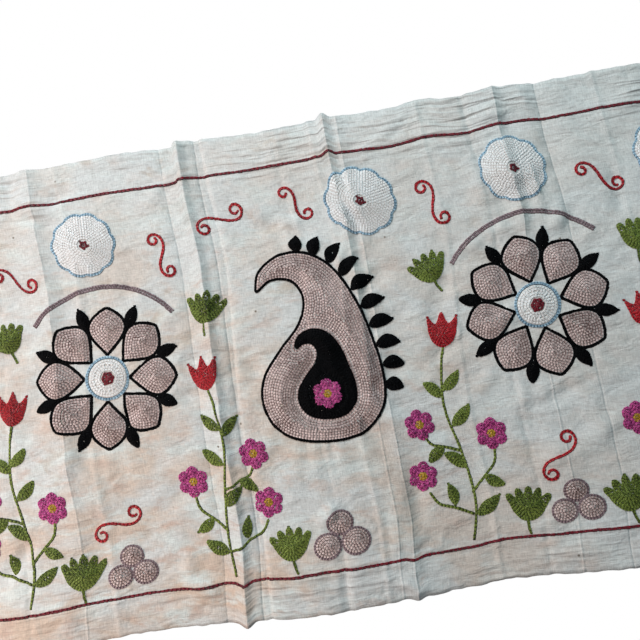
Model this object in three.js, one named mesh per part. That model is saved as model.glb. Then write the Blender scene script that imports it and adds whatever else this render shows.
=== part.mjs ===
// Suzani wall hanging: one strip of hand-loomed cotton, hung against a wall by its top selvedge.
// Millimetres. X runs along the strip, Z is up with 0 at the top selvedge, and the face looks to -Y.
import * as THREE from 'three';

const LENGTH = 1000;
const HEIGHT = 450;
const THICKNESS = 2;
const HEM_WIDTH = 12;
const HEM_THICKNESS = 3;
const PLAIN_COLUMN = 30;
const CREASE_FLANKS = [-16, -8, -3.5, 3.5, 8, 16];
const CLOSEST_COLUMNS = 2.8;
const ROWS = 22;
const COTTON = new THREE.MeshStandardMaterial({ color: 0xd6d1c6, roughness: 0.92, metalness: 0 });

// A crease's flanks curve up to its crest by this power, and it dies away over this share of the height.
const CREASE_SHARPNESS = 1.7;
const DYING = 0.3;

// Creases left by folding the strip away. Each runs down from the top selvedge. out is how far its
// crest stands off the cloth, or sinks in where it is negative, left and right are how wide its two
// flanks are, and fade is the share of the height below which it dies away.
const creases = [
  { at: -452, out: 2.4, left: 26, right: 14, fade: 1.0 },
  { at: -398, out: -3.4, left: 18, right: 30, fade: 1.0 },
  { at: -248, out: 4.2, left: 34, right: 16, fade: 0.9 },
  { at: -118, out: -1.2, left: 10, right: 8, fade: 1.0 },
  { at: -99, out: 4.6, left: 16, right: 9, fade: 1.0 },
  { at: -84, out: -1.4, left: 7, right: 16, fade: 1.0 },
  { at: 43, out: 4.4, left: 30, right: 10, fade: 0.72 },
  { at: 56, out: 2.2, left: 22, right: 14, fade: 1.0 },
  { at: 205, out: 3.6, left: 28, right: 12, fade: 0.55 },
  { at: 247, out: -2.6, left: 12, right: 22, fade: 0.45 },
  { at: 352, out: -3.6, left: 26, right: 20, fade: 1.0 },
  { at: 420, out: 2.8, left: 24, right: 12, fade: 0.8 },
];

// Soft folds in which the hung cloth swings clear of the wall, deeper towards the bottom edge.
const SWELL_GROWTH = 1.3;
const swells = [
  { at: -430, width: 120, top: 1.0, bottom: -6.0 },
  { at: -310, width: 90, top: -0.5, bottom: 5.0 },
  { at: -180, width: 100, top: 1.5, bottom: -5.5 },
  { at: -30, width: 110, top: -1.5, bottom: 6.0 },
  { at: 125, width: 105, top: 1.0, bottom: -6.5 },
  { at: 290, width: 115, top: -1.0, bottom: 5.5 },
  { at: 450, width: 90, top: 1.5, bottom: -5.0 },
];

// Drag wrinkles round the dense sewing: down is how far below the top selvedge the middle lies, and
// turn is the slant of the wrinkle from the strip's length, in degrees.
const wrinkles = [
  { at: -392, down: 300, turn: 38, length: 120, width: 15, out: 2.2 },
  { at: -285, down: 120, turn: -32, length: 110, width: 14, out: -2.0 },
  { at: -165, down: 95, turn: -24, length: 90, width: 12, out: 1.8 },
  { at: -150, down: 330, turn: 30, length: 110, width: 14, out: -2.0 },
  { at: -25, down: 90, turn: 20, length: 80, width: 12, out: -1.8 },
  { at: 70, down: 300, turn: -40, length: 120, width: 15, out: 2.0 },
  { at: 122, down: 180, turn: 62, length: 120, width: 13, out: -2.0 },
  { at: 240, down: 330, turn: 35, length: 100, width: 14, out: 2.2 },
  { at: 330, down: 210, turn: -55, length: 130, width: 15, out: 2.0 },
  { at: 440, down: 140, turn: 28, length: 90, width: 12, out: -1.8 },
];

// The selvedges are not straight: shift is how far each stands above its line at that place. The top
// one steps up at the pleat, and comes to a small point at the crease right of the middle.
const STEP_COLUMNS = [-104.5, -101.5];
const topEdge = [
  { at: -500, shift: 0.4 }, { at: -420, shift: -1.2 }, { at: -330, shift: 1.0 }, { at: -230, shift: -0.6 },
  { at: -150, shift: 0.6 }, { at: STEP_COLUMNS[0], shift: -2.1 }, { at: STEP_COLUMNS[1], shift: 2.8 },
  { at: -69, shift: 1.4 }, { at: -30, shift: -1.0 }, { at: 35, shift: -0.4 }, { at: 43, shift: 3.4 },
  { at: 51, shift: 0 }, { at: 100, shift: -1.3 }, { at: 139, shift: 1.8 }, { at: 168, shift: -1.4 },
  { at: 205, shift: 1.3 }, { at: 260, shift: -0.3 }, { at: 350, shift: 1.2 }, { at: 430, shift: -0.9 },
  { at: 500, shift: 0.6 },
];
const bottomEdge = [
  { at: -500, shift: 0 }, { at: -400, shift: 1.8 }, { at: -300, shift: -0.8 }, { at: -222, shift: 1.4 },
  { at: -165, shift: 1.0 }, { at: -108, shift: 0.4 }, { at: -99, shift: -2.4 }, { at: -90, shift: 0.2 },
  { at: -28, shift: -1.5 }, { at: 47, shift: -0.6 }, { at: 56, shift: -2.8 }, { at: 66, shift: -1.2 },
  { at: 110, shift: -1.2 }, { at: 140, shift: 0.8 }, { at: 240, shift: -0.8 }, { at: 340, shift: 1.4 },
  { at: 430, shift: -0.6 }, { at: 500, shift: 0.6 },
];
// An uneven selvedge is felt less and less towards the other one, by this power.
const EDGE_REACH = 3;

// Sideways wander of the cloth, and of its creases with it, at each distance down from the top.
const wander = [
  { at: 0, shift: -4.5 }, { at: 36, shift: -4.0 }, { at: 130, shift: 1.8 }, { at: 270, shift: -0.3 },
  { at: 370, shift: 2.3 }, { at: 450, shift: -3.0 },
];

const smooth = (t) => t * t * (3 - 2 * t);
const clamp01 = (t) => Math.min(1, Math.max(0, t));

function shiftAt(line, place) {
  const next = line.findIndex((point) => point.at >= place);
  if (next <= 0) return line.at(next).shift;
  const before = line[next - 1];
  const after = line[next];
  return before.shift + (after.shift - before.shift) * smooth((place - before.at) / (after.at - before.at));
}

function creaseOut(crease, along, down) {
  const away = along - crease.at;
  const t = Math.abs(away) / (away < 0 ? crease.left : crease.right);
  const lasts = crease.fade < 1 ? 1 - smooth(clamp01((down / HEIGHT - crease.fade) / DYING + 1)) : 1;
  return t < 1 ? crease.out * (1 - t) ** CREASE_SHARPNESS * lasts : 0;
}

function swellOut(swell, along, down) {
  const t = Math.abs(along - swell.at) / swell.width;
  const depth = swell.top + (swell.bottom - swell.top) * (down / HEIGHT) ** SWELL_GROWTH;
  return t < 1 ? depth * (1 - smooth(t)) : 0;
}

function wrinkleOut(wrinkle, along, down) {
  const turn = THREE.MathUtils.degToRad(wrinkle.turn);
  const x = along - wrinkle.at;
  const z = wrinkle.down - down;
  const run = (x * Math.cos(turn) + z * Math.sin(turn)) / (wrinkle.length / 2);
  const side = (z * Math.cos(turn) - x * Math.sin(turn)) / wrinkle.width;
  const inside = Math.abs(run) < 1 && Math.abs(side) < 1;
  return inside ? wrinkle.out * (1 - run * run) ** 2 * (1 - side * side) ** 2 : 0;
}

// Where the cloth's middle layer hangs, from how far along the strip and down from the top it is.
function hang(along, down) {
  let out = 0;
  for (const crease of creases) out += creaseOut(crease, along, down);
  for (const swell of swells) out += swellOut(swell, along, down);
  for (const wrinkle of wrinkles) out += wrinkleOut(wrinkle, along, down);
  const share = down / HEIGHT;
  const topLift = shiftAt(topEdge, along) * (1 - share) ** EDGE_REACH;
  const bottomLift = shiftAt(bottomEdge, along) * share ** EDGE_REACH;
  return new THREE.Vector3(along + shiftAt(wander, down), -out, topLift + bottomLift - down);
}

// Columns of points: evenly along the strip, and closer on both flanks of each crease.
function columnPlaces() {
  const places = [-LENGTH / 2, -LENGTH / 2 + HEM_WIDTH, LENGTH / 2 - HEM_WIDTH, LENGTH / 2];
  const wanted = [...STEP_COLUMNS, ...creases.map((crease) => crease.at)];
  for (const crease of creases) wanted.push(...CREASE_FLANKS.map((away) => crease.at + away));
  for (let x = PLAIN_COLUMN - LENGTH / 2; x < LENGTH / 2; x += PLAIN_COLUMN) wanted.push(x);
  for (const place of wanted) {
    const gap = Math.min(...places.map((other) => Math.abs(other - place)));
    if (gap >= CLOSEST_COLUMNS) places.push(place);
  }
  return places.sort((a, b) => a - b);
}

function thicknessAt(along) {
  return Math.abs(along) > LENGTH / 2 - HEM_WIDTH ? HEM_THICKNESS : THICKNESS;
}

// The strip is a thin box, one cell thick, whose points are moved onto the hung shape.
function makeCloth() {
  const places = columnPlaces();
  const columns = places.length - 1;
  const geometry = new THREE.BoxGeometry(columns, 2, ROWS, columns, 1, ROWS);
  const points = geometry.attributes.position;
  for (let i = 0; i < points.count; i += 1) {
    const along = places[Math.round(points.getX(i) + columns / 2)];
    const down = HEIGHT * (0.5 - points.getZ(i) / ROWS);
    const place = hang(along, down);
    points.setXYZ(i, place.x, place.y + points.getY(i) * thicknessAt(along) / 2, place.z);
  }
  geometry.computeVertexNormals();
  const cloth = new THREE.Mesh(geometry, COTTON);
  cloth.name = 'cloth';
  return cloth;
}

const hanging = new THREE.Group();
hanging.add(makeCloth());
export default hanging;
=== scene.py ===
import math

import bmesh
import bpy
import numpy as np
from mathutils import Matrix, Vector


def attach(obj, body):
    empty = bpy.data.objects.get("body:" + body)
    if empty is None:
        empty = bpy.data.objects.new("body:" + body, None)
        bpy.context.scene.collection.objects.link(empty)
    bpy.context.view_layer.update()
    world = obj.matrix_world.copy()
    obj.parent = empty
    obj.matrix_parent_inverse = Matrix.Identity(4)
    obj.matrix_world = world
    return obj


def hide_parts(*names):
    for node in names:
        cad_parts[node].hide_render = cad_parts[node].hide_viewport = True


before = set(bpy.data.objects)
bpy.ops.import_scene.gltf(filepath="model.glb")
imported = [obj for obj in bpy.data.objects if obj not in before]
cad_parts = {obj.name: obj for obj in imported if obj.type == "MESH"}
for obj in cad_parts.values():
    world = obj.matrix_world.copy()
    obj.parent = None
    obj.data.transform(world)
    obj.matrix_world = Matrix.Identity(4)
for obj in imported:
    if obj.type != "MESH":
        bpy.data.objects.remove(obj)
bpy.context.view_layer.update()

# The camera. The strip is seen nearly square on from under half a metre, by a phone held a little
# low and turned clockwise, so that the strip climbs to the right and runs out of the view.
CAMERA_PLACE = (0.0184, -0.4431, -0.2189)
CAMERA_PAN, CAMERA_TILT, CAMERA_ROLL = math.radians(1.64), math.radians(3.71), math.radians(-9.25)
CAMERA_LENS_MM = 26.7

camera_turn = Matrix.Rotation(CAMERA_PAN, 4, "Z")
camera_turn = camera_turn @ Matrix.Rotation(math.radians(90) + CAMERA_TILT, 4, "X")
camera_turn = camera_turn @ Matrix.Rotation(CAMERA_ROLL, 4, "Z")
camera = bpy.data.objects.new("camera", bpy.data.cameras.new("camera"))
camera.matrix_world = Matrix.Translation(CAMERA_PLACE) @ camera_turn
camera.data.sensor_width = 36
camera.data.lens = CAMERA_LENS_MM
camera.data.clip_start = 0.01
bpy.context.scene.collection.objects.link(camera)
bpy.context.scene.camera = camera
bpy.context.scene.view_settings.view_transform = "Standard"


# The cloth. One strip of hand-loomed cotton hangs by its top selvedge, with the sharp creases it was
# stored in, loose swells that deepen downwards, and drag wrinkles and puckers round the dense sewing.
# Places on it are measured in millimetres along the strip from its middle, and down from the top.
MM = 0.001
LENGTH, HEIGHT = 1000.0, 450.0
CLOTH_THICKNESS = 0.7
CREASE_SHARPNESS = 1.7  # the power by which a crease's flanks curve up to its crest
CREASE_DYING = 0.3  # the share of the height over which it dies away
CREST_ROUNDING = 0.08
SWELL_GROWTH = 1.3
EDGE_REACH = 3  # the power by which an uneven selvedge is felt less towards the other one
SHEET_COLUMNS, SHEET_ROWS = 340, 130
EVEN_PLACES, CROWDING, CROWDING_REACH = 4001, 2.4, 6
NEARBY = 0.5

CREASES = [  # at, out, left flank, right flank, share of the height at which it has faded
    (-452, 2.4, 26, 14, 1.0),
    (-398, -3.4, 18, 30, 1.0),
    (-248, 4.2, 34, 16, 0.9),
    (-118, -1.2, 10, 8, 1.0),
    (-99, 4.6, 16, 9, 1.0),
    (-84, -1.4, 7, 16, 1.0),
    (43, 4.4, 30, 10, 0.72),
    (56, 2.2, 22, 14, 1.0),
    (205, 3.6, 28, 12, 0.55),
    (247, -2.6, 12, 22, 0.45),
    (352, -3.6, 26, 20, 1.0),
    (420, 2.8, 24, 12, 0.8),
]
SWELLS = [  # at, half width, out at the top, out at the bottom
    (-430, 120, 1.0, -6.0),
    (-310, 90, -0.5, 5.0),
    (-180, 100, 1.5, -5.5),
    (-30, 110, -1.5, 6.0),
    (125, 105, 1.0, -6.5),
    (290, 115, -1.0, 5.5),
    (450, 90, 1.5, -5.0),
]
WRINKLES = [  # at, down, turn in degrees, length, half width, out
    (-392, 300, 38, 120, 15, 2.2),
    (-285, 120, -32, 110, 14, -2.0),
    (-165, 95, -24, 90, 12, 1.8),
    (-150, 330, 30, 110, 14, -2.0),
    (-25, 90, 20, 80, 12, -1.8),
    (70, 300, -40, 120, 15, 2.0),
    (122, 180, 62, 120, 13, -2.0),
    (240, 330, 35, 100, 14, 2.2),
    (330, 210, -55, 130, 15, 2.0),
    (440, 140, 28, 90, 12, -1.8),
]
TOP_EDGE = [  # at, how far the top selvedge stands above its line
    (-500, 0.4), (-420, -1.2), (-330, 1.0), (-230, -0.6), (-150, 0.6), (-104.5, -2.1), (-101.5, 2.8),
    (-69, 1.4), (-30, -1.0), (35, -0.4), (43, 3.4), (51, 0), (100, -1.3), (139, 1.8), (168, -1.4),
    (205, 1.3), (260, -0.3), (350, 1.2), (430, -0.9), (500, 0.6),
]
BOTTOM_EDGE = [  # at, how far the bottom selvedge stands above its line
    (-500, 0), (-400, 1.8), (-300, -0.8), (-222, 1.4), (-165, 1.0), (-108, 0.4), (-99, -2.4), (-90, 0.2),
    (-28, -1.5), (47, -0.6), (56, -2.8), (66, -1.2), (110, -1.2), (140, 0.8), (240, -0.8), (340, 1.4),
    (430, -0.6), (500, 0.6),
]
WANDER = [(0, -4.5), (36, -4.0), (130, 1.8), (270, -0.3), (370, 2.3), (450, -3.0)]  # down, sideways
SELVEDGE_WAVER, WAVER_FADING = 0.55, 12
SELVEDGE_WAVES = [(1.0, 4.3, 11.7, 1), (0.6, 2.1, 17.9, 0)]  # share, short wave, long wave, its start

# What is too fine for the strip's solid: small drag wrinkles and creases, and puckers that stand out
# like rays from the edge of each large sewn figure.
SMALL_WRINKLES, SMALL_WRINKLES_FROM, SMALL_WRINKLE_OUT = 240, 10, 1.7
SMALL_WRINKLE_TURNS, UNEVEN_TURN = [-62, -35, -28, 30, 38, 84, 96], 9
SMALL_WRINKLE_LENGTHS, SMALL_WRINKLE_WIDTHS = (30, 100), (7, 17)
SWAY, SWAY_LENGTH = 3, 61
SMALL_CREASES = [  # at, out, left flank, right flank
    (-79, -1.3, 9, 3),
    (-222, 0.9, 5, 9),
    (-8, -0.8, 8, 5),
    (28, 0.9, 4, 7),
    (132, 0.8, 8, 4),
    (176, -0.8, 6, 5),
    (-300, -0.9, 7, 5),
    (300, 0.9, 8, 5),
]
PUCKERS = [  # at, down, half width, half height, rays
    (-396, 216, 58, 92, 17),
    (-202, 212, 76, 76, 16),
    (-6, 213, 60, 94, 19),
    (205, 209, 76, 76, 18),
    (390, 216, 58, 92, 17),
]
PUCKER_OUT, PUCKER_START, PUCKER_REACH = 0.75, 0.1, 0.42
FINER_RAYS, FINER_RAYS_OUT = 1.7, 0.6

random = np.random.default_rng(5)
small_wrinkles = np.stack([  # the same columns as WRINKLES
    random.uniform(-LENGTH / 2, LENGTH / 2, SMALL_WRINKLES),
    random.uniform(SMALL_WRINKLES_FROM, HEIGHT - SMALL_WRINKLES_FROM, SMALL_WRINKLES),
    random.choice(SMALL_WRINKLE_TURNS, SMALL_WRINKLES) + random.normal(0, UNEVEN_TURN, SMALL_WRINKLES),
    random.uniform(*SMALL_WRINKLE_LENGTHS, SMALL_WRINKLES),
    random.uniform(*SMALL_WRINKLE_WIDTHS, SMALL_WRINKLES),
    random.normal(0, SMALL_WRINKLE_OUT, SMALL_WRINKLES),
], axis=1)


def smooth(t):
    t = np.clip(t, 0, 1)
    return t * t * (3 - 2 * t)


def shift_at(line, place):
    """The shift at a place, which changes smoothly from one row of a table to the next."""
    at, shift = np.array(line, float).T
    before = np.clip(np.searchsorted(at, place) - 1, 0, len(at) - 2)
    share = smooth((place - at[before]) / (at[before + 1] - at[before]))
    return shift[before] + (shift[before + 1] - shift[before]) * share


def wrinkle_out(along, down, at, middle, turn, length, width, out):
    """How far one drag wrinkle stands out, which dies away towards its ends and its sides."""
    x, z = along - at, middle - down
    cos, sin = math.cos(math.radians(turn)), math.sin(math.radians(turn))
    run = np.clip((x * cos + z * sin) / (length / 2), -1, 1)
    side = np.clip((z * cos - x * sin) / width, -1, 1)
    return out * (1 - run * run) ** 2 * (1 - side * side) ** 2


def crease_section(away, left, right):
    """How high a crease stands at some distances from its crest, as a share of its height there."""
    t = np.hypot(away / np.where(away < 0, left, right), CREST_ROUNDING)
    return (np.clip(1 - t, 0, 1) / (1 - CREST_ROUNDING)) ** CREASE_SHARPNESS


def coarse_out(along, down):
    """How far the strip's solid stands out towards the viewer, in millimetres."""
    share = down / HEIGHT
    out = np.zeros_like(along)
    for at, crest, left, right, fade in CREASES:
        lasts = 1 - smooth((share - fade) / CREASE_DYING + 1) if fade < 1 else 1
        out += crest * crease_section(along - at, left, right) * lasts
    for at, half_width, top, bottom in SWELLS:
        depth = top + (bottom - top) * share ** SWELL_GROWTH
        out += depth * (1 - smooth(np.abs(along - at) / half_width))
    for row in WRINKLES:
        out += wrinkle_out(along, down, *row)
    return out


def fine_out(along, down):
    """How much farther the real cloth stands out, in small wrinkles, small creases and puckers."""
    out = np.zeros_like(along)
    for row in small_wrinkles:
        out += wrinkle_out(along, down, *row)
    for at, crest, left, right in SMALL_CREASES:
        out += crest * crease_section(along - at - SWAY * np.sin(down / SWAY_LENGTH), left, right)
    for at, middle, half_width, half_height, rays in PUCKERS:
        x, z = (along - at) / half_width, (down - middle) / half_height
        outside = np.hypot(x, z) - 1
        way = np.arctan2(z, x)
        ray = np.sin(rays * way + at) + FINER_RAYS_OUT * np.sin(rays * FINER_RAYS * way)
        fading = smooth(outside / PUCKER_START + 1) * np.exp(-np.abs(outside) / PUCKER_REACH)
        out += PUCKER_OUT * ray * fading
    return out


def hang(places):
    """Where points of the cloth hang, in metres, from how far along and down the strip they are."""
    along, down = places[:, 0], places[:, 1]
    share = np.clip(down / HEIGHT, 0, 1)
    lift = shift_at(TOP_EDGE, along) * (1 - share) ** EDGE_REACH
    lift += shift_at(BOTTOM_EDGE, along) * share ** EDGE_REACH
    for part, short, long, start in SELVEDGE_WAVES:
        waver = part * np.sin(along / short) * np.sin(along / long + start)
        lift += SELVEDGE_WAVER * waver * np.abs(2 * share - 1) ** WAVER_FADING
    out = coarse_out(along, np.clip(down, 0, HEIGHT)) + fine_out(along, down)
    return np.stack([along + shift_at(WANDER, down), -out, lift - down], axis=1) * MM


def linear(*colour):
    """A colour as seen, in red, green and blue from 0 to 255, as the renderer's numbers."""
    return tuple(((c / 255 + 0.055) / 1.055) ** 2.4 if c > 10 else c / 3294.6 for c in colour) + (1,)


def node(tree, kind, inputs=(), **settings):
    """A new shader node with its settings, whose sockets take a value or another node's output."""
    made = tree.nodes.new("ShaderNode" + kind)
    for name, value in settings.items():
        setattr(made, name, value)
    for name, value in dict(inputs).items():
        if isinstance(value, bpy.types.NodeSocket):
            tree.links.new(value, made.inputs[name])
        else:
            made.inputs[name].default_value = value
    return made


def new_material(name):
    material = bpy.data.materials.new(name)
    material.use_nodes = True
    return material, material.node_tree, material.node_tree.nodes["Principled BSDF"]


def object_of(mesh, material):
    """A piece of the hanging, which rides its root and takes its cotton's colour slot."""
    made = bpy.data.objects.new(mesh.name, mesh)
    bpy.context.scene.collection.objects.link(made)
    mesh.materials.append(material)
    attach(made, "root")
    return made


def off_cloth(places, height):
    """Points so many millimetres in front of the cloth's middle layer, or behind it if less than 0."""
    ahead = hang(places + (NEARBY, 0)) - hang(places - (NEARBY, 0))
    up = hang(places - (0, NEARBY)) - hang(places + (0, NEARBY))
    out = np.cross(ahead, up)
    return hang(places) + out / np.linalg.norm(out, axis=1)[:, None] * np.reshape(height, (-1, 1)) * MM


def sheet_mesh(name, columns_at, height):
    """A grid on the hung shape, from where its columns of points are along the strip and before it."""
    shape = bmesh.new()
    bmesh.ops.create_grid(shape, x_segments=len(columns_at) - 1, y_segments=SHEET_ROWS, size=1)
    mesh = bpy.data.meshes.new(name)
    shape.to_mesh(mesh)
    shape.free()
    square = np.zeros(len(mesh.vertices) * 3)
    mesh.vertices.foreach_get("co", square)
    square = (square.reshape(-1, 3) + 1) / 2
    column = np.rint(square[:, 0] * (len(columns_at) - 1)).astype(int)
    places = np.stack([np.array(columns_at)[column], square[:, 1] * HEIGHT], axis=1)
    mesh.vertices.foreach_set("co", off_cloth(places, np.array(height)[column]).ravel())
    corner = np.zeros(len(mesh.loops), int)
    mesh.loops.foreach_get("vertex_index", corner)
    flat = mesh.uv_layers.new(name="flat")
    flat.uv.foreach_set("vector", (places[corner] * (MM, -MM)).ravel())
    mesh.shade_smooth()
    mesh.update()
    return mesh


def cloth_columns():
    """Places for columns of points along the strip, closer together at the crests of the creases."""
    even = np.linspace(-LENGTH / 2, LENGTH / 2, EVEN_PLACES)
    crowding = np.ones_like(even)
    for at, *flanks in CREASES + SMALL_CREASES:
        crowding += CROWDING * np.exp(-((even - at) / CROWDING_REACH) ** 2)
    run = np.concatenate([[0], np.cumsum((crowding[1:] + crowding[:-1]) / 2)])
    return np.interp(np.linspace(0, run[-1], SHEET_COLUMNS + 1), run, even)


# The finish of the cotton. Heights are in millimetres: ribs that the loom left along both selvedges, in
# patches and fainter at the bottom, a soft rumple all over, the thin line that is pressed into the crest
# of each stored crease, and the yarns of the plain weave.
RIB_OUT, RUMPLE_OUT, PRESSED_OUT, YARN_OUT = 3.3, 3.4, 0.4, 0.25
PRESSED_HALF_WIDTH, PRESSED_WAVER, WAVERS_A_METRE = 1.5, 3.0, 22
MARGIN_FROM, MARGIN_TO = 0.160, 0.192  # metres from the strip's middle line
RIBS_AT_BOTTOM = 0.5
RIB_STRETCH, PATCH_STRETCH, PATCHES_A_METRE = (22, 195), (1, 2), 8
PATCH_FROM, PATCH_TO, FAINTEST, STRONGEST = 0.40, 0.62, 0.25, 1.45
RUMPLE_STRETCH, RUMPLE_TURN, RUMPLES_A_METRE = (0.6, 1.2), 0.15, 54
YARN_STRETCHES = [(150, 1100), (1100, 150)]
YARNS_FROM, YARNS_TO, DARKEST_YARN, LIGHTEST_YARN = 0.7, 1.3, 0.80, 1.13
NEPS_A_METRE, NEP_SIZE, NEPS_KEPT = 38, 0.055, 0.5
RIGHT_SHADE_FROM, RIGHT_SHADE_TO, STAINS_IN_RIGHT_SHADE = -0.10, 0.28, 0.25  # metres along the strip over which the stains fade to their least share, a painted cool cast of shade towards the right
CLEAN_COTTON, HUSK = linear(217, 216, 213), linear(118, 104, 88)
STAINS = [  # name, scale, stretch, turn, from, to, at the top, at the bottom, colour
    ("tan stain", 13, (0.8, 1.4), 0.3, 0.42, 0.58, 0.30, 1.00, (214, 190, 171)),
    ("washed patch", 30, (0.7, 1.5), -0.2, 0.49, 0.64, 0.55, 0.95, (222, 227, 223)),
    ("peach stain", 52, (0.6, 1.4), 0.15, 0.54, 0.70, 0.30, 0.80, (206, 176, 160)),
    ("tea mark", 27, (0.8, 1.3), 0.9, 0.60, 0.74, 0.80, 0.55, (184, 160, 138)),
    ("grey smear", 24, (1.6, 0.7), 0.6, 0.58, 0.76, 0.60, 0.60, (182, 182, 176)),
]


def cloud_on(tree, flat, stretch, turn=0.0, **settings):
    """Noise whose blots are drawn out along or across the strip."""
    turned = node(tree, "Mapping", {"Vector": flat, "Scale": (*stretch, 1), "Rotation": (0, 0, turn)})
    inputs = {"Vector": turned.outputs["Vector"], **settings}
    return node(tree, "TexNoise", inputs).outputs["Fac"]


def worked_out(tree, operation, *values):
    return node(tree, "Math", dict(enumerate(values)), operation=operation).outputs[0]


def ramp(tree, value, low, high, at_low=0, at_high=1):
    """A value's way from low to high, turned into a value from at_low to at_high."""
    ends = {"Value": value, "From Min": low, "From Max": high, "To Min": at_low, "To Max": at_high}
    return node(tree, "MapRange", ends).outputs["Result"]


def blend(tree, share, one, other):
    """A colour between two, where share is how much of the other shows."""
    return node(tree, "Mix", {0: share, 6: one, 7: other}, data_type="RGBA").outputs[2]


def cotton_colour(tree, flat, yarn):
    """Off-white cotton with warm stains, cool washed patches, and dark specks of husk in its yarns, the
    stains fading towards the right as painted cool shade.
    """
    place = node(tree, "SeparateXYZ", {"Vector": flat})
    colour = node(tree, "RGB").outputs[0]
    colour.default_value = CLEAN_COTTON
    # Painted shade: the stains fade towards the right, which gives that end of the strip the cool cast of
    # shade.
    right_shade_fade = ramp(tree, place.outputs["X"], RIGHT_SHADE_TO, RIGHT_SHADE_FROM, STAINS_IN_RIGHT_SHADE, 1)
    for name, scale, stretch, turn, low, high, at_top, at_bottom, tint in STAINS:
        cloud = cloud_on(tree, flat, stretch, turn, Scale=scale, Detail=4, Roughness=0.6, Distortion=0.4)
        most = ramp(tree, place.outputs["Y"], -HEIGHT * MM, 0, at_bottom, at_top)
        most = worked_out(tree, "MULTIPLY", most, right_shade_fade)
        colour = blend(tree, ramp(tree, cloud, low, high, 0, most), colour, linear(*tint))
        colour.node.label = name
    nep = node(tree, "TexVoronoi", {"Vector": flat, "Scale": NEPS_A_METRE})
    near_nep = ramp(tree, nep.outputs["Distance"], NEP_SIZE / 3, NEP_SIZE, 1, 0)
    nep_kind = node(tree, "SeparateColor", {"Color": nep.outputs["Color"]}).outputs[0]
    kept = worked_out(tree, "GREATER_THAN", nep_kind, 1 - NEPS_KEPT)
    colour = blend(tree, worked_out(tree, "MULTIPLY", near_nep, kept), colour, HUSK)
    shade = ramp(tree, yarn, YARNS_FROM, YARNS_TO, DARKEST_YARN, LIGHTEST_YARN)
    return node(tree, "VectorMath", {0: colour, 1: shade}, operation="MULTIPLY").outputs[0]


def cotton_relief(tree, flat):
    """How far the cotton stands out, in millimetres, in rumples, ribs and pressed lines."""
    place = node(tree, "SeparateXYZ", {"Vector": flat})
    along, height = place.outputs["X"], place.outputs["Y"]
    rumple = cloud_on(tree, flat, RUMPLE_STRETCH, RUMPLE_TURN,
                      Scale=RUMPLES_A_METRE, Detail=3, Roughness=0.5, Distortion=0.4)
    out = worked_out(tree, "MULTIPLY", rumple, RUMPLE_OUT)
    ribs = cloud_on(tree, flat, RIB_STRETCH, Scale=1.0, Detail=0.8, Distortion=0.35)
    off_middle = worked_out(tree, "ABSOLUTE", worked_out(tree, "ADD", height, HEIGHT * MM / 2))
    margin = ramp(tree, off_middle, MARGIN_FROM, MARGIN_TO, 0, RIB_OUT)
    fading = ramp(tree, height, -HEIGHT * MM, 0, RIBS_AT_BOTTOM, 1)
    patches = cloud_on(tree, flat, PATCH_STRETCH, Scale=PATCHES_A_METRE, Detail=1)
    patchy = ramp(tree, patches, PATCH_FROM, PATCH_TO, FAINTEST, STRONGEST)
    margin = worked_out(tree, "MULTIPLY", worked_out(tree, "MULTIPLY", margin, fading), patchy)
    out = worked_out(tree, "MULTIPLY_ADD", ribs, margin, out)
    wavers = cloud_on(tree, flat, (1, 1), Scale=WAVERS_A_METRE, Detail=2)
    wavering = worked_out(tree, "MULTIPLY_ADD", wavers, PRESSED_WAVER * MM, along)
    for at, crest, *flanks in CREASES:
        away = worked_out(tree, "SUBTRACT", wavering, (at + PRESSED_WAVER / 2) * MM)
        away = worked_out(tree, "ABSOLUTE", away)
        pressed = ramp(tree, away, 0, PRESSED_HALF_WIDTH * MM, math.copysign(PRESSED_OUT, crest), 0)
        out = worked_out(tree, "ADD", out, pressed)
    return out


def make_cotton():
    """Plain-woven cotton: its colour, its rumpled and ribbed surface, and its uneven yarns."""
    material, tree, shader = new_material("hand_loomed_cotton")
    flat = node(tree, "UVMap", uv_map="flat").outputs["UV"]
    yarns = [cloud_on(tree, flat, stretch, Scale=1.0, Detail=2) for stretch in YARN_STRETCHES]
    yarn = worked_out(tree, "ADD", *yarns)
    tree.links.new(cotton_colour(tree, flat, yarn), shader.inputs["Base Color"])
    shader.inputs["Roughness"].default_value = 0.9
    shader.inputs["Sheen Weight"].default_value = 0.15
    soft = node(tree, "Bump", {"Height": cotton_relief(tree, flat), "Strength": 1.0, "Distance": MM})
    bump = node(tree, "Bump", {
        "Height": yarn, "Strength": 1.0, "Distance": YARN_OUT * MM, "Normal": soft.outputs["Normal"],
    })
    tree.links.new(bump.outputs["Normal"], shader.inputs["Normal"])
    return material


def thicken(sheet):
    """Gives a sheet the cotton's thickness, half to each side."""
    wall = sheet.modifiers.new("thickness", "SOLIDIFY")
    wall.thickness = CLOTH_THICKNESS * MM
    wall.offset = 0


cotton = make_cotton()
columns = cloth_columns()
rows = np.linspace(0, HEIGHT, SHEET_ROWS + 1)
sheet_points = hang(np.stack(np.meshgrid(columns, rows), axis=-1).reshape(-1, 2))
sheet_points = sheet_points.reshape(len(rows), len(columns), 3)
cloth = object_of(sheet_mesh("cloth_sheet", columns, np.zeros_like(columns)), cotton)
thicken(cloth)
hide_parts("cloth")


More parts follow.
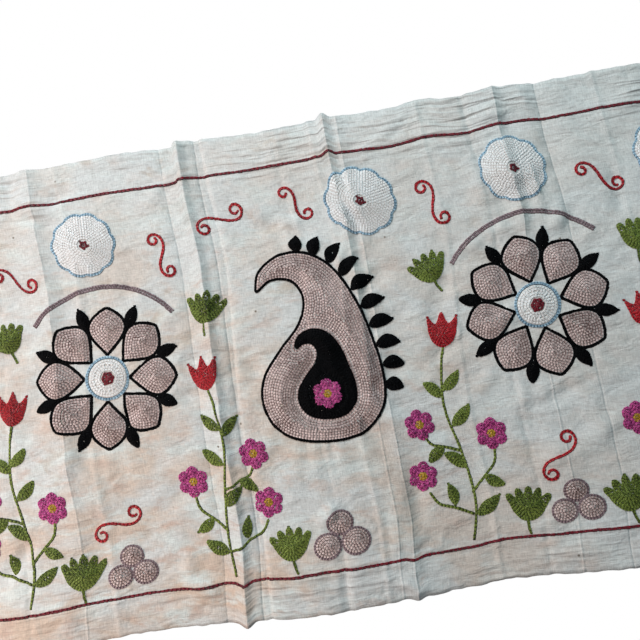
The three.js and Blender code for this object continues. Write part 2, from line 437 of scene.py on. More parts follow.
# The border lines. A row of thick chain stitch in crimson floss runs the whole strip near each selvedge,
# and climbs the pleat's step gently. Each stitch is a loop of thread, held at its round end by the loop
# after it, and it leaves a short straight stitch at the back.
BORDER_DOWN = (36.3, 414.8)
BORDER_INSET, BORDER_SPACING = 4, 2
BORDER_STITCH, BORDER_WIDTH = 4.0, 2.9
LONG_WAVER, LONG_WAVE, SHORT_WAVER, SHORT_WAVE = 0.5, 37, 0.3, 13
STEP_RISE, STEP_FROM, STEP_TO, GENTLE_FROM, GENTLE_TO = 4.9, -104.5, -101.5, -114, -90
STITCH_LENGTH, STITCH_WIDTH, ROW_PITCH = 2.75, 2.4, 2.35
LOOP_OVERLAP = 1.4
LOOP_SPREAD = [(-1, 0.15), (-0.82, 0.40), (0.48, 0.44), (1, 0.15)]  # run, half width
LOOP_SHADE = [(-1, 0.15), (-0.82, 0.18), (0.48, 1), (1, 0.15)]  # run, how light: painted shade at both ends, where the loops overlap, and painted light near the crest
STRAND_RINGS = (-0.82, 0, 0.48)
STRAND_RADIUS, STRAND_HEIGHT, STRAND_RISE = 0.62, 0.38, 0.14
# How light a strand's inner flank is, as painted shade; its outer flank is painted darkest, and the back
# stitch has one even tone.
INNER_FLANK_SHADE, BACK_TONE = 0.6, 0.8
BACK_RADIUS = 0.36
THREAD_LIFT = 0.2
SIDE_REACH = 0.7
UNEVEN_WAY, UNEVEN_PLACE, UNEVEN_LENGTH, UNEVEN_WIDTH = 0.05, 0.07, 0.05, 0.06
DULLEST_STITCH, UNEVEN_STRAND = 0.6, 0.08
DYE_CHANGES, DYE_SHARE, TONE_AND_SHADE_SHARE = 28, 0.8, 1.2
DARK_BELOW, LIGHT_ABOVE = 0.85, 1.85
FIBRE_GRAIN, FIBRE_OUT = 700, 0.2


def strand(rings):
    """A three-sided spindle of thread from x = -1 to 1, one edge up, as points and triangles."""
    shape = bmesh.new()
    turn = Matrix.Rotation(math.radians(90), 4, "Y") @ Matrix.Rotation(math.radians(180), 4, "Z")
    bmesh.ops.create_uvsphere(shape, u_segments=3, v_segments=rings + 1, radius=1, matrix=turn)
    bmesh.ops.triangulate(shape, faces=shape.faces)
    points = np.array([v.co for v in shape.verts])
    faces = np.array([[v.index for v in f.verts] for f in shape.faces])
    shape.free()
    girth = np.hypot(points[:, 1], points[:, 2])
    ring = girth > 0.1
    points[ring, 1:] /= girth[ring, None]
    points[ring, 0] = np.interp(np.sign(np.round(points[ring, 0], 3)), (-1, 0, 1), STRAND_RINGS)
    return points, faces


def loop_of_thread():
    """One chain stitch as a unit: its two strands and its back stitch, in half lengths and widths.

    Every point has a painted shade: light on the crests, dark in the gaps and where the next loop holds it,
    where shade falls.
    """
    points, faces = strand(rings=2)
    parts, part_shades = [], []
    run, right_shade_fade = np.array(LOOP_SPREAD).T
    for side in (-1, 1):
        bowed = points.copy()
        bowed[:, 1] = side * np.interp(points[:, 0], run, right_shade_fade) + points[:, 1] * STRAND_RADIUS
        bowed[:, 2] = points[:, 2] * STRAND_HEIGHT + STRAND_RISE * points[:, 0]
        parts.append((bowed, faces))
        flank_shade = np.where(points[:, 1] * side < 0, INNER_FLANK_SHADE, 0)
        part_shades.append(np.interp(points[:, 0], *np.array(LOOP_SHADE).T) * np.where(points[:, 2] > 0.5, 1, flank_shade))
    back, back_faces = strand(rings=1)
    back[:, 1:] *= BACK_RADIUS
    parts.append((back, back_faces))
    part_shades.append(np.full(len(back), BACK_TONE))
    ends = np.cumsum([0] + [len(points) for points, faces in parts])
    part_of = np.repeat(np.arange(len(parts)), np.diff(ends))
    loop_faces = np.vstack([f + end for (p, f), end in zip(parts, ends)])
    return np.vstack([p for p, f in parts]), loop_faces, part_of, np.concatenate(part_shades)


loop_points, loop_faces, loop_part, loop_shade = loop_of_thread()


def on_sheet(places):
    """Where points lie on the facets between the sheet's own points, so that no stitch sinks in."""
    column = np.clip(np.searchsorted(columns, places[:, 0]) - 1, 0, len(columns) - 2)
    row = np.clip(np.searchsorted(rows, places[:, 1]) - 1, 0, len(rows) - 2)
    u = ((places[:, 0] - columns[column]) / (columns[column + 1] - columns[column]))[:, None]
    v = ((places[:, 1] - rows[row]) / (rows[row + 1] - rows[row]))[:, None]
    upper = sheet_points[row, column] * (1 - u) + sheet_points[row, column + 1] * u
    lower = sheet_points[row + 1, column] * (1 - u) + sheet_points[row + 1, column + 1] * u
    return upper * (1 - v) + lower * v


def stitches_on(row, closed=False, length=STITCH_LENGTH):
    """The middles and spans of stitches laid end to end along a row."""
    row = np.asarray(row, float)
    if closed:
        row = np.vstack([row, row[:1]])
    run = np.concatenate([[0], np.cumsum(np.hypot(*np.diff(row, axis=0).T))])
    count = max(1, round(run[-1] / length))
    marks = np.linspace(0, run[-1], count + 1)
    knots = np.stack([np.interp(marks, run, row[:, k]) for k in (0, 1)], axis=1)
    return np.hstack([(knots[1:] + knots[:-1]) / 2, knots[1:] - knots[:-1]])


def sew(name, stitches, thread, width=STITCH_WIDTH):
    """Lays a loop of thread on the cloth for every stitch, as one mesh."""
    stitches = np.vstack(stitches)
    middle, span = stitches[:, :2], stitches[:, 2:]
    count = len(stitches)
    run = span / np.maximum(np.hypot(*span.T), 1e-6)[:, None]
    run = run + random.normal(0, UNEVEN_WAY, (count, 2))
    aside = np.stack([run[:, 1], -run[:, 0]], axis=1)
    middle = middle + aside * random.normal(0, UNEVEN_PLACE, (count, 1))
    reach = run * np.hypot(*span.T)[:, None] / 2
    place = on_sheet(middle)
    ahead = on_sheet(middle + reach) - on_sheet(middle - reach)
    across = on_sheet(middle + aside * SIDE_REACH) - on_sheet(middle - aside * SIDE_REACH)
    half_length = np.linalg.norm(ahead, axis=1) / 2
    ahead /= half_length[:, None] * 2
    out = np.cross(ahead, across)
    out /= np.linalg.norm(out, axis=1)[:, None]
    across = np.cross(out, ahead)
    half_length *= LOOP_OVERLAP * (1 + np.abs(random.normal(0, UNEVEN_LENGTH, count)))
    half_width = width / 2 * random.normal(1, UNEVEN_WIDTH, count) * MM
    rise = np.where(loop_part < 2, CLOTH_THICKNESS / 2 + THREAD_LIFT, -CLOTH_THICKNESS / 2)
    height = loop_points[:, 2][None] * half_width[:, None] + rise[None] * MM
    points = place[:, None] + ahead[:, None] * (loop_points[:, 0][None] * half_length[:, None])[..., None]
    points += across[:, None] * (loop_points[:, 1][None] * half_width[:, None])[..., None]
    points += out[:, None] * height[..., None]
    faces = loop_faces[None] + (np.arange(count) * len(loop_points))[:, None, None]
    mesh = bpy.data.meshes.new(name)
    mesh.from_pydata(points.reshape(-1, 3), [], faces.reshape(-1, 3))
    # Each point's tone is the stitch's own random lightness times its loop's painted shade.
    tone_and_shade = mesh.attributes.new("tone_and_shade", "FLOAT", "POINT")
    light = random.uniform(DULLEST_STITCH, 1, (count, 1)) + random.normal(0, UNEVEN_STRAND, (count, 3))
    tone_and_shade.data.foreach_set("value", (light[:, loop_part] * loop_shade).ravel())
    mesh.shade_smooth()
    return object_of(mesh, thread)


def make_thread(name, dark_and_shaded, light, roughness=0.42, gloss=0.5):
    """Embroidery floss: each stitch has its own tone between two, over slow changes of dye, with painted
    shade, dark in the gaps and under the next loop and light on the crests.
    """
    material, tree, shader = new_material(name)
    place = node(tree, "TexCoord").outputs["Object"]
    # The attribute carries each stitch's own tone together with the painted shade of its loop.
    tone_and_shade = node(tree, "Attribute", attribute_name="tone_and_shade").outputs["Fac"]
    dye = node(tree, "TexNoise", {"Vector": place, "Scale": DYE_CHANGES, "Detail": 3}).outputs["Fac"]
    grain = node(tree, "TexNoise", {"Vector": place, "Scale": FIBRE_GRAIN, "Detail": 2}).outputs["Fac"]
    uneven = worked_out(tree, "MULTIPLY_ADD", dye, DYE_SHARE, grain)
    mixed = worked_out(tree, "MULTIPLY_ADD", tone_and_shade, TONE_AND_SHADE_SHARE, uneven)
    colour = blend(tree, ramp(tree, mixed, DARK_BELOW, LIGHT_ABOVE), dark_and_shaded, light)
    tree.links.new(colour, shader.inputs["Base Color"])
    shader.inputs["Roughness"].default_value = roughness
    shader.inputs["Specular IOR Level"].default_value = gloss
    bump = node(tree, "Bump", {"Height": grain, "Strength": 0.35, "Distance": FIBRE_OUT * MM})
    tree.links.new(bump.outputs["Normal"], shader.inputs["Normal"])
    return material


crimson = make_thread("crimson_floss", linear(52, 4, 14), linear(150, 24, 44))
border_rows = []
for down in BORDER_DOWN:
    reach = LENGTH / 2 - BORDER_INSET
    along = np.arange(-reach, reach + 1, BORDER_SPACING)
    waver = LONG_WAVER * np.sin(along / LONG_WAVE + down) + SHORT_WAVER * np.sin(along / SHORT_WAVE)
    steep = smooth((along - STEP_FROM) / (STEP_TO - STEP_FROM))
    gentle = smooth((along - GENTLE_FROM) / (GENTLE_TO - GENTLE_FROM))
    waver += STEP_RISE * (1 - down / HEIGHT) ** EDGE_REACH * (steep - gentle)
    border_rows.append(stitches_on(np.stack([along, down + waver], axis=1), length=BORDER_STITCH))
sew("border_lines", border_rows, crimson, BORDER_WIDTH)


# The end hems. Each end of the strip is turned twice to the back, and the turning is held by small
# running stitches in cream cotton thread.
HEM = [  # past the strip's end, before the sheet
    (0.1, 0), (0.5, -0.5), (0.5, -1.2), (0.1, -1.7), (-6, -1.8), (-11.6, -1.7), (-12.1, -1.3), (-12, -0.7),
]
HEM_STITCHES_IN, HEM_STITCHES_FROM = 10.0, 3
HEM_STITCH, HEM_THREAD_WIDTH = 3.4, 1.1

cream = make_thread("cream_cotton_thread", linear(176, 166, 148), linear(236, 230, 216), roughness=0.7)
hem_rows, hems = [], []
for name, side in (("left", -1), ("right", 1)):
    past_end, before = np.array(HEM).T
    turned = sheet_mesh(f"hem_{name}", side * (LENGTH / 2 + past_end), before)
    hems.append(object_of(turned, cotton))
    thicken(hems[-1])
    ends = (HEM_STITCHES_FROM, HEIGHT - HEM_STITCHES_FROM)
    line = [(side * (LENGTH / 2 - HEM_STITCHES_IN), down) for down in ends]
    hem_rows.append(stitches_on(line, length=HEM_STITCH)[::2])
hems.append(sew("hem_stitches", hem_rows, cream, HEM_THREAD_WIDTH))


# The botehs. Three tall leaning almonds in dusty pink floss, each outlined in black, round a black
# core of the same shape that holds a small flower, with a crest of black leaves down its back. All
# filling follows the outlines inwards row by row, and odd stitches close what gaps are left.
GRID_STEP = 0.9
FIRST_ROW = 2.35
EDGE_SPARED = 0.6
WIDEST_GAP, CLOSE_GAP = 0.53, 0.44
SHORTEST_RING, SHORTEST_ROW, ODD_LENGTH, ODD_REACH = 2.2, 0.7, 0.65, 0.7  # in stitches
BARE_FROM, BARE_SHARE = 0.4, 0.95
OUTLINE_WIDTH, FLOSS_WIDTH = 3.0, 2.7
BLACK_PITCH, BLACK_GAP = 2.15, 0.37
CURVE_STEPS, PETAL_STEPS, LEAF_STEPS = 8, 12, 12
PETAL_ROUNDNESS, LEAF_ROUNDNESS = 0.7, 0.85
CORE_SHARE, CORE_FOOT, CORE_FIRST = 0.46, (-0.02, 0.12), 2.0
FLOWER_RADIUS, FLOWER_PETALS, FLOWER_CENTRE, FLOWER_PLACE = 15.0, 6, 4.2, (0, 0.27)
FLOWER_RING_IN, FLOWER_NOTCH = 2.6, 0.24
PETAL_TUCK, PETAL_FULLNESS, PETAL_FAT, PETAL_FIRST, PETAL_STITCH = 2.4, 1.36, 1.35, 1.2, 3.0
EYE_RING_OUT, EYE_RING_STITCH, EYE_FIRST, EYE_STITCH = 1.3, 2.8, 1.1, 2.6
TUFT_WIDTH, TUFT_BEND, TUFT_LEAN, TUFT_FIRST = 14, 0.10, -60, 1.6

BOTEH = [  # the outline, in heights: from the foot up the belly side to the curled tip and back
    (0.00, 0.00), (0.20, 0.04), (0.31, 0.17), (0.31, 0.33), (0.22, 0.48), (0.12, 0.61), (0.09, 0.74),
    (0.15, 0.84), (0.26, 0.85), (0.34, 0.79), (0.32, 0.90), (0.22, 0.98), (0.08, 0.99), (-0.06, 0.91),
    (-0.17, 0.75), (-0.25, 0.56), (-0.31, 0.36), (-0.31, 0.18), (-0.20, 0.04),
]
BOTEHS = [  # at, down to the foot, lean, height, side that the tip points to
    (-396, 304, -5, 176, 1),
    (-6, 301, 6, 178, -1),
    (390, 303, 5, 174, -1),
]
CREST = [  # place along the outline, in its points; turn in degrees; length
    (11.8, 60, 18), (12.35, 42, 21), (12.9, 26, 24), (13.4, 12, 26), (13.9, 0, 27),
    (14.4, -10, 27), (14.9, -18, 27), (15.4, -26, 26), (15.9, -34, 24), (16.45, -44, 21),
]


def curve(points, closed=False):
    """A smooth line through a few points."""
    p = np.asarray(points, float)
    p = np.vstack([p[-1:], p, p[:2]]) if closed else np.vstack([2 * p[0] - p[1], p, 2 * p[-1] - p[-2]])
    t = np.linspace(0, 1, CURVE_STEPS, endpoint=False)[:, None]
    parts = []
    for a, b, c, d in zip(p, p[1:], p[2:], p[3:]):
        square, cube = 2 * a - 5 * b + 4 * c - d, 3 * b - a - 3 * c + d
        parts.append(b + (c - a) * t / 2 + square * t ** 2 / 2 + cube * t ** 3 / 2)
    return np.vstack(parts if closed else parts + [p[-2:-1]])


def placed(line, at, down, turn=0.0, size=1.0, flip=1):
    """A line drawn with y up, put on the strip and turned clockwise by so many degrees."""
    cos, sin = math.cos(math.radians(turn)), math.sin(math.radians(turn))
    x, y = np.asarray(line, float).T * size
    x = x * flip
    return np.stack([at + x * cos + y * sin, down + x * sin - y * cos], axis=1)


def depth_inside(points, outline):
    """How far points lie inside a closed outline, less than 0 where they are outside it."""
    nearest = np.full(len(points), np.inf)
    inside = np.zeros(len(points), bool)
    for start, end in zip(outline, np.roll(outline, -1, axis=0)):
        side, away = end - start, points - start
        share = np.clip(away @ side / max(side @ side, 1e-9), 0, 1)
        nearest = np.minimum(nearest, np.hypot(*(away - share[:, None] * side).T))
        if side[1]:
            beside = (points[:, 1] < start[1]) != (points[:, 1] < end[1])
            inside ^= beside & (away[:, 0] < away[:, 1] * side[0] / side[1])
    return np.where(inside, nearest, -nearest)


def level_lines(depth, level, corner):
    """The lines along which a grid of depths has one value, as (points, closed).

    Side 0 of a point of the grid leads to the next one along, and side 1 to the next one down.
    """
    above = depth > level
    mixed = above[:-1, :-1] + 0 + above[1:, :-1] + above[:-1, 1:] + above[1:, 1:]
    links = {}
    for i, j in np.argwhere((mixed > 0) & (mixed < 4)):
        cut = [
            (side, x, y) for side, x, y in ((0, i, j), (1, i, j), (0, i, j + 1), (1, i + 1, j))
            if above[x, y] != above[x + (side == 0), y + (side == 1)]
        ]
        for first, second in zip(cut[::2], cut[1::2]):
            links.setdefault(first, []).append(second)
            links.setdefault(second, []).append(first)
    lines = []
    while links:
        edge = next((e for e, others in links.items() if len(others) == 1), next(iter(links)))
        line = []
        while edge is not None:
            others = links.pop(edge)
            side, i, j = edge
            here, there = depth[i, j], depth[i + 1, j] if side == 0 else depth[i, j + 1]
            share = (level - here) / (there - here)
            line.append(corner + GRID_STEP * np.array([i + share * (side == 0), j + share * (side == 1)]))
            edge = next((e for e in others if e in links), None)
        closed = len(line) > 3 and np.hypot(*(line[0] - line[-1])) < 2 * GRID_STEP
        lines.append((np.array(line), closed))
    return lines


def away_from(points, stitches):
    """How far points lie from the nearest of some stitches."""
    nearest = np.full(len(points), np.inf)
    for x, y, along, across in stitches:
        span = np.array((along, across))
        away = points - (x, y)
        share = np.clip(away @ span / (span @ span), -0.5, 0.5)
        nearest = np.minimum(nearest, np.hypot(*(away - share[:, None] * span).T))
    return nearest


def filled(outline, holes=(), pitch=ROW_PITCH, length=STITCH_LENGTH, first=FIRST_ROW, gap=WIDEST_GAP):
    """The stitches that fill an outline, in rows that follow it and its holes."""
    corner = outline.min(axis=0) - GRID_STEP
    steps = np.ceil((outline.max(axis=0) - corner) / GRID_STEP).astype(int) + 2
    grid = corner + GRID_STEP * np.stack(np.meshgrid(*map(np.arange, steps), indexing="ij"), axis=-1)
    depth = depth_inside(grid.reshape(-1, 2), outline)
    for hole in holes:
        depth = np.minimum(depth, -depth_inside(grid.reshape(-1, 2), hole))
    depth = depth.reshape(steps)
    stitches = []
    level = first
    while level < depth.max():
        for line, closed in level_lines(depth, level, corner):
            shortest = (SHORTEST_RING if closed else SHORTEST_ROW) * length
            if np.hypot(*np.diff(line, axis=0).T).sum() > shortest:
                stitches.append(stitches_on(line, closed, length))
        level += pitch
    left = grid[depth > first - EDGE_SPARED]
    bare = np.full(len(left), np.inf)
    for row in stitches:
        bare = np.minimum(bare, away_from(left, row))
    while len(left) and bare.max() > gap * pitch:
        middle = left[bare.argmax()]
        beside = np.hypot(*(left - middle).T) < length * ODD_REACH
        group = left[(bare > min(BARE_FROM, BARE_SHARE * gap) * pitch) & beside] - middle
        way = np.linalg.eigh(group.T @ group)[1][:, 1]
        odd = np.array([[*(middle + group.mean(axis=0) / 2), *(way * length * ODD_LENGTH)]])
        stitches.append(odd)
        bare = np.minimum(bare, np.minimum(away_from(left, odd), np.hypot(*(left - middle).T)))
    return np.vstack(stitches)


def outlined(*outlines, length=STITCH_LENGTH):
    return np.vstack([stitches_on(line, True, length) for line in outlines])


def petals(radius, count, depth, stretch=1.0):
    """A flower's outline, with round petals whose notches cut in by a share of its radius."""
    angle = np.linspace(0, 2 * math.pi, count * PETAL_STEPS, endpoint=False)
    reach = radius * (1 - depth + depth * np.abs(np.sin(count * angle / 2)) ** PETAL_ROUNDNESS)
    return np.stack([reach * np.sin(angle) * stretch, reach * np.cos(angle)], axis=1)


def leaf(length, width, bend=0.0, fat=0.85):
    """A leaf that stands on its stalk at (0, 0). fat moves its widest place up or down."""
    share = np.linspace(0, 1, LEAF_STEPS + 1)
    half = width / 2 * np.sin(math.pi * share ** fat) ** LEAF_ROUNDNESS
    x, y = bend * length * 4 * share * (1 - share), length * share
    return np.vstack([np.stack([x + half, y], 1)[:-1], np.stack([x - half, y], 1)[:0:-1]])


def blossom(at, down, radius, turn=0.0):
    """The stitches of a flower, petal by petal round the place of its eye."""
    width = PETAL_FULLNESS * radius * math.tan(math.pi / FLOWER_PETALS)
    petal = leaf(radius - FLOWER_CENTRE + PETAL_TUCK, width, fat=PETAL_FAT)
    parts = []
    for way in turn + np.arange(FLOWER_PETALS) * 360 / FLOWER_PETALS:
        root = placed([(0, FLOWER_CENTRE - PETAL_TUCK)], at, down, way)[0]
        parts.append(filled(placed(petal, *root, way), first=PETAL_FIRST, length=PETAL_STITCH))
    ring = placed(petals(FLOWER_CENTRE + EYE_RING_OUT, FLOWER_PETALS, 0), at, down)
    return np.vstack([*parts, outlined(ring, length=EYE_RING_STITCH)])


pink = make_thread("dusty_pink_floss", linear(108, 78, 72), linear(252, 228, 223), roughness=0.36)
black = make_thread("black_floss", linear(4, 4, 5), linear(13, 13, 15), roughness=0.6, gloss=0.06)
magenta = make_thread("magenta_floss", linear(112, 12, 68), linear(226, 92, 168))
gold = make_thread("gold_floss", linear(160, 112, 20), linear(214, 176, 60))

for number, (at, foot, lean, height, side) in enumerate(BOTEHS, 1):
    body = placed(curve(BOTEH, closed=True), at, foot, lean, height, side)
    core_foot = placed([CORE_FOOT], at, foot, lean, height, side)[0]
    core = placed(curve(BOTEH, closed=True), *core_foot, lean, height * CORE_SHARE, side)
    flower_at = placed([FLOWER_PLACE], *core_foot, lean, height * CORE_SHARE, side)[0]
    flower = petals(FLOWER_RADIUS - FLOWER_RING_IN, FLOWER_PETALS, FLOWER_NOTCH)
    flower_ring = placed(flower, *flower_at, 180 / FLOWER_PETALS)
    eye = placed(petals(FLOWER_CENTRE, FLOWER_PETALS, 0), *flower_at)
    crest = []
    for place, turn, length in CREST:
        whole, part = int(place), place - int(place)
        root = np.array(BOTEH[whole]) * (1 - part) + np.array(BOTEH[(whole + 1) % len(BOTEH)]) * part
        root_at = placed([root], at, foot, lean, height, side)[0]
        tuft = leaf(length, TUFT_WIDTH, TUFT_BEND)
        crest.append(placed(tuft, *root_at, lean + side * (turn + TUFT_LEAN), 1, side))
    sew(f"boteh_{number}_pink", [filled(body, [core])], pink)
    sew(f"boteh_{number}_black", [
        outlined(body, core), filled(core, [flower_ring], BLACK_PITCH, first=CORE_FIRST, gap=BLACK_GAP),
        *[filled(tuft, first=TUFT_FIRST, gap=BLACK_GAP) for tuft in crest],
    ], black, OUTLINE_WIDTH)
    sew(f"boteh_{number}_flower", [blossom(*flower_at, FLOWER_RADIUS)], magenta, FLOSS_WIDTH)
    sew(f"boteh_{number}_eye", [filled(eye, first=EYE_FIRST, length=EYE_STITCH)], gold)


# The rosettes. Two great round flowers between the botehs: eight petals in dusty pink, outlined in
# black, round a white boss with a pale blue ring and a crimson eye, with black tips between the
# petals and a mauve-brown arch of two rows over each.
ROSETTES = [(-202, 212, 6), (205, 209, -9)]  # at, down, turn
LOBE_ROOT, LOBE_LENGTH, LOBE_WIDTH, LOBE_FAT, LOBE_COUNT = 22, 45, 36, 1.25, 8
TIP_ROOT, TIP_LENGTH, TIP_WIDTH = 50, 24, 13
BOSS_RADIUS, BOSS_RING_IN, BOSS_FIRST = 20, 1.4, 1.8
BOSS_EYE, BOSS_EYE_PETALS, BOSS_EYE_NOTCH, BOSS_EYE_FIRST, BOSS_EYE_STITCH = 7, 6, 0.2, 1.2, 2.8
ARCH_RADIUS, ARCH_HALF_ANGLE = 86, 50

white = make_thread("white_floss", linear(232, 225, 221), linear(255, 255, 255), gloss=1.0)
blue = make_thread("pale_blue_floss", linear(70, 104, 128), linear(196, 224, 240))
mauve = make_thread("mauve_brown_floss", linear(92, 68, 72), linear(176, 152, 156))


def around(line, at, down, turn, reach):
    """A line drawn upright, put so far out from a centre, in a direction turned from straight up."""
    root = placed([(0, reach)], at, down, turn)[0]
    return placed(line, *root, turn)


def arc(radius, first, last):
    angle = np.radians(np.linspace(first, last, 40))
    return np.stack([np.sin(angle), np.cos(angle)], axis=1) * radius


for number, (at, down, turn) in enumerate(ROSETTES, 1):
    turns = turn + np.arange(LOBE_COUNT) * 360 / LOBE_COUNT
    lobes = [around(leaf(LOBE_LENGTH, LOBE_WIDTH, fat=LOBE_FAT), at, down, t, LOBE_ROOT) for t in turns]
    tips = [around(leaf(TIP_LENGTH, TIP_WIDTH), at, down, t + 180 / LOBE_COUNT, TIP_ROOT) for t in turns]
    boss = placed(petals(BOSS_RADIUS, LOBE_COUNT, 0), at, down)
    boss_ring = placed(petals(BOSS_RADIUS - BOSS_RING_IN, LOBE_COUNT, 0), at, down)
    eye = placed(petals(BOSS_EYE, BOSS_EYE_PETALS, BOSS_EYE_NOTCH), at, down)
    sew(f"rosette_{number}_pink", [filled(lobe) for lobe in lobes], pink)
    tip_fill = [filled(tip, first=TUFT_FIRST, gap=BLACK_GAP) for tip in tips]
    sew(f"rosette_{number}_black", [outlined(*lobes), *tip_fill], black, OUTLINE_WIDTH)
    sew(f"rosette_{number}_boss", [filled(boss_ring, [eye], first=BOSS_FIRST)], white)
    sew(f"rosette_{number}_ring", [outlined(boss)], blue, OUTLINE_WIDTH)
    eye_fill = filled(eye, first=BOSS_EYE_FIRST, length=BOSS_EYE_STITCH, gap=CLOSE_GAP)
    sew(f"rosette_{number}_eye", [eye_fill], crimson)
    arch = [placed(arc(radius, -ARCH_HALF_ANGLE, ARCH_HALF_ANGLE), at, down, turn / 2)
            for radius in (ARCH_RADIUS, ARCH_RADIUS + ROW_PITCH)]
    sew(f"rosette_{number}_arch", [stitches_on(row) for row in arch], mauve)


# The medallions. White discs along the top, each with a lobed edge in pale blue floss, filled in rings
# that grow rounder inwards, to a small crimson star at the middle.
MEDALLION_LOBES, MEDALLION_NOTCH, MEDALLION_EDGE_WIDTH = 10, 0.09, 2.9
STAR_RADIUS, STAR_POINTS, STAR_NOTCH = 5.5, 5, 0.45
MEDALLIONS = [  # at, down, radius, turn
    (-458, 84, 27, -12),
    (-206, 82, 31, 6),
    (62, 85, 33, 14),
    (208, 80, 31, -8),
    (352, 87, 32, 10),
    (466, 90, 25, 4),
]
medallion_fill, medallion_edge, medallion_star = [], [], []
for at, down, radius, turn in MEDALLIONS:
    rings = []
    for ring in np.arange(radius, STAR_RADIUS + 1, -ROW_PITCH):
        notch = MEDALLION_NOTCH * (ring / radius) ** 2
        rings.append(placed(petals(ring, MEDALLION_LOBES, notch), at, down, turn))
    star = placed(petals(STAR_RADIUS, STAR_POINTS, STAR_NOTCH), at, down, turn)
    medallion_fill.append(outlined(*rings[1:]))
    medallion_edge.append(outlined(rings[0]))
    medallion_star.append(filled(star, first=EYE_FIRST, length=EYE_STITCH))
sew("medallions_white", medallion_fill, white)
sew("medallions_blue", medallion_edge, blue, MEDALLION_EDGE_WIDTH)
sew("medallions_stars", medallion_star, crimson)


# The sprays. Curving olive stems rise from the bottom line between the figures, in single rows, with
# leaves in pairs, magenta flowers with gold centres and a red tulip on top, and palmettes of round
# lobes stand beside and below them.
SPRAYS = [  # at, foot, size, side
    (-298, 409, 0.98, 1),
    (-106, 408, 1.0, -1),
    (112, 409, 1.03, 1),
    (300, 408, 0.97, -1),
]
STEMS = [  # the main stem and its branches, each from root to end
    [(0, 0), (5, 34), (1, 76), (-6, 116), (-3, 150), (2, 170)],
    [(4, 40), (16, 52), (27, 62), (30, 74)],
    [(0, 78), (-14, 84), (-24, 87), (-28, 94)],
    [(2, 22), (-14, 30), (-27, 35), (-34, 46)],
]
SPRAY_FLOWERS = [(30, 88, 15.5, 5), (-31, 106, 15, -6), (-37, 61, 14.5, 12)]  # x, y, radius, turn
SPRAY_LEAVES = [  # x, y, turn, length, width
    (4, 20, 58, 28, 12.5),
    (-13, 31, -10, 22, 10.5),
    (16, 53, 122, 22, 11),
    (3, 62, -48, 26, 12),
    (-13, 84, -128, 22, 11),
    (-3, 100, 48, 27, 12),
    (-6, 126, -44, 24, 11),
    (-5, 132, 46, 25, 11),
]
PALMETTES = [  # at, down, turn, reach
    (-53, 401, -4, 31),
    (162, 401, 6, 32),
    (-250, 402, 5, 33),
    (252, 402, -7, 33),
    (-347, 403, -4, 31),
    (348, 404, 6, 31),
    (-104, 176, 14, 31),
    (116, 172, -16, 30),
    (-292, 174, -10, 30),
    (302, 174, 12, 31),
    (-454, 403, 10, 34),
    (450, 402, -6, 34),
]
PALMETTE_LOBES, PALMETTE_SPREAD, PALMETTE_NOTCH, PALMETTE_ROUNDNESS = 5, 47, 0.24, 0.6
LEAF_BEND, LEAF_FIRST, STEM_STITCH, TULIP_TURN = 0.06, 1.4, 3.4, 6
PALMETTE_CUP = [  # from one end of the lobes down to the foot and up to the other, in reaches
    (0.56, 0.53), (0.42, 0.26), (0.20, 0.05), (0, 0), (-0.20, 0.05), (-0.42, 0.26), (-0.56, 0.53),
]
PALMETTE_STALK = [(0, 1), (1, -5), (3, -11)]
TULIP = [(0, 0), (9, 5), (13, 15), (14, 30), (6, 22), (0, 34), (-6, 22), (-14, 30), (-13, 15), (-9, 5)]


def palmette(reach):
    """A cup on a narrow foot at (0, 0), with a row of round lobes along its top."""
    share = np.linspace(0, 1, PALMETTE_LOBES * 10 + 1)
    angle = np.radians(PALMETTE_SPREAD * (2 * share - 1))
    lobe = np.abs(np.sin(math.pi * PALMETTE_LOBES * share)) ** PALMETTE_ROUNDNESS
    radius = reach * (1 - PALMETTE_NOTCH + PALMETTE_NOTCH * lobe)
    top = np.stack([np.sin(angle), np.cos(angle)], axis=1) * radius[:, None]
    return np.vstack([top, curve(PALMETTE_CUP)[1:-1] * reach])


olive = make_thread("olive_floss", linear(38, 48, 8), linear(142, 158, 72), roughness=0.5, gloss=0.3)
scarlet = make_thread("red_floss", linear(112, 6, 16), linear(210, 34, 46))

green_parts, flower_parts, eye_parts, tulip_parts = [], [], [], []
for at, foot, size, side in SPRAYS:
    for stem in STEMS:
        line = placed(curve(stem), at, foot, 0, size, side)
        green_parts.append(stitches_on(line, length=STEM_STITCH))
    for x, y, turn, length, width in SPRAY_LEAVES:
        root = placed([(x, y)], at, foot, 0, size, side)[0]
        outline = placed(leaf(length, width, LEAF_BEND), *root, turn * side, size, side)
        green_parts.append(filled(outline, first=LEAF_FIRST, gap=CLOSE_GAP))
    for x, y, radius, turn in SPRAY_FLOWERS:
        middle = placed([(x, y)], at, foot, 0, size, side)[0]
        eye = placed(petals(FLOWER_CENTRE, FLOWER_PETALS, 0), *middle)
        flower_parts.append(blossom(*middle, radius, turn))
        eye_parts.append(filled(eye, first=EYE_FIRST, length=EYE_STITCH))
    top = placed(STEMS[0][-1:], at, foot, 0, size, side)[0]
    tulip = placed(curve(TULIP, closed=True), *top, TULIP_TURN * side, size)
    tulip_parts.append(filled(tulip, first=LEAF_FIRST, gap=CLOSE_GAP))
for at, down, turn, reach in PALMETTES:
    green_parts.append(filled(placed(palmette(reach), at, down, turn), first=LEAF_FIRST, gap=CLOSE_GAP))
    green_parts.append(stitches_on(placed(PALMETTE_STALK, at, down, turn), length=STEM_STITCH))
for name, parts, thread in (("green", green_parts, olive), ("flowers", flower_parts, magenta),
                            ("eyes", eye_parts, gold), ("tulips", tulip_parts, scarlet)):
    sew("sprays_" + name, parts, thread, FLOSS_WIDTH)


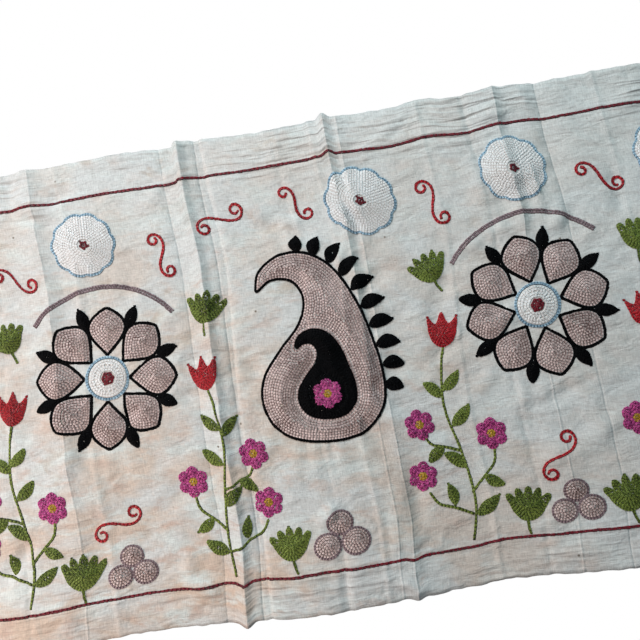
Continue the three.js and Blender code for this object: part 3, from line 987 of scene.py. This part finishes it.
# The tendrils. Red scrolls in single rows of chain stitch fill the gaps, each a double curl drawn in
# one sweep.
TENDRIL_STITCH, TENDRIL_WIDTH, SCROLL_STEPS = 3.3, 3.0, 60
TENDRILS = [  # at, down, turn, half length, end turn in radians
    (-462, 356, 84, 46, 7.4),
    (-350, 84, -20, 56, 7.8),
    (-278, 106, 66, 50, 7.2),
    (-134, 104, -64, 50, 7.6),
    (-72, 80, 20, 56, 7.8),
    (2, 76, 96, 42, 6.6),
    (128, 98, -70, 52, 7.4),
    (284, 100, 74, 52, 7.8),
    (412, 80, 80, 50, 7.8),
    (466, 352, -78, 46, 7.2),
    (-212, 348, 16, 54, 7.4),
    (198, 346, -14, 56, 7.8),
]


def scroll(length, curl):
    """A double curl about the origin, which turns tighter and tighter towards both ends."""
    run = np.linspace(-1, 1, 2 * SCROLL_STEPS + 1)
    heading = curl * run ** 2
    line = np.cumsum(np.stack([np.cos(heading), np.sin(heading)], axis=1), axis=0)
    return (line - line[SCROLL_STEPS]) * length / SCROLL_STEPS


sew("tendrils", [stitches_on(placed(scroll(length, curl), at, down, turn), length=TENDRIL_STITCH)
                 for at, down, turn, length, curl in TENDRILS], scarlet, TENDRIL_WIDTH)


# The threefold balls. Three dusty pink pebbles edged in mauve lie in a triangle under each boteh and
# each rosette.
BALLS = [(-13, 0, 11), (13, 1, 11.5), (0, 19, 10.5)]  # x, y, radius
BALL_STRETCH, BALL_FIRST = 1.1, 2.1
BALL_PLACES = [  # at, down, size
    (-398, 392, 0.95), (-8, 392, 1.0), (396, 392, 0.95), (-204, 396, 0.9), (206, 395, 0.9),
]
ball_fill, ball_edge = [], []
for at, down, size in BALL_PLACES:
    for x, y, radius in BALLS:
        middle = placed([(x, y)], at, down, 0, size)[0]
        ball = placed(petals(radius, 6, 0, BALL_STRETCH), *middle, 0, size)
        ball_fill.append(filled(ball, first=BALL_FIRST))
        ball_edge.append(outlined(ball))
sew("balls_pink", ball_fill, pink)
sew("balls_edges", ball_edge, mauve)


# The light, which is no part of the hanging: daylight from a window at the upper left, a little way
# off, weaker light from the right and from below, a lamp behind the cloth, and a white surround.
AMBIENT, SURROUND = (0.07, 0.10, 0.12, 1), (1, 1, 1, 1)
LIGHT_AIM = (0, 0, -0.22)
LIGHTS = [  # name, place, size, watts, colour
    ("window", (-0.52, -0.75, 0.67), 0.5, 11.1, (0.94, 0.97, 1.0)),
    ("fill", (0.45, -0.55, 0.50), 0.8, 3.0, (0.73, 0.98, 1.0)),
    ("bounce", (-0.64, -0.45, -0.50), 0.6, 3.9, (1.0, 0.85, 0.77)),
    ("back", (0.9, 1.5, 0.6), 1.2, 22, (1.0, 1.0, 1.0)),
]
for name, place, size, watts, colour in LIGHTS:
    lamp = bpy.data.lights.new(name, "AREA")
    lamp.energy, lamp.size, lamp.color = watts, size, colour
    lamp_object = bpy.data.objects.new(name, lamp)
    lamp_object.location = place
    way = Vector(LIGHT_AIM) - Vector(place)
    lamp_object.rotation_euler = way.to_track_quat("-Z", "Y").to_euler()
    bpy.context.scene.collection.objects.link(lamp_object)

world = bpy.data.worlds.new("surround")
world.use_nodes = True
seen = node(world.node_tree, "LightPath").outputs["Is Camera Ray"]
glow = blend(world.node_tree, seen, AMBIENT, SURROUND)
world.node_tree.links.new(glow, world.node_tree.nodes["Background"].inputs["Color"])
bpy.context.scene.world = world
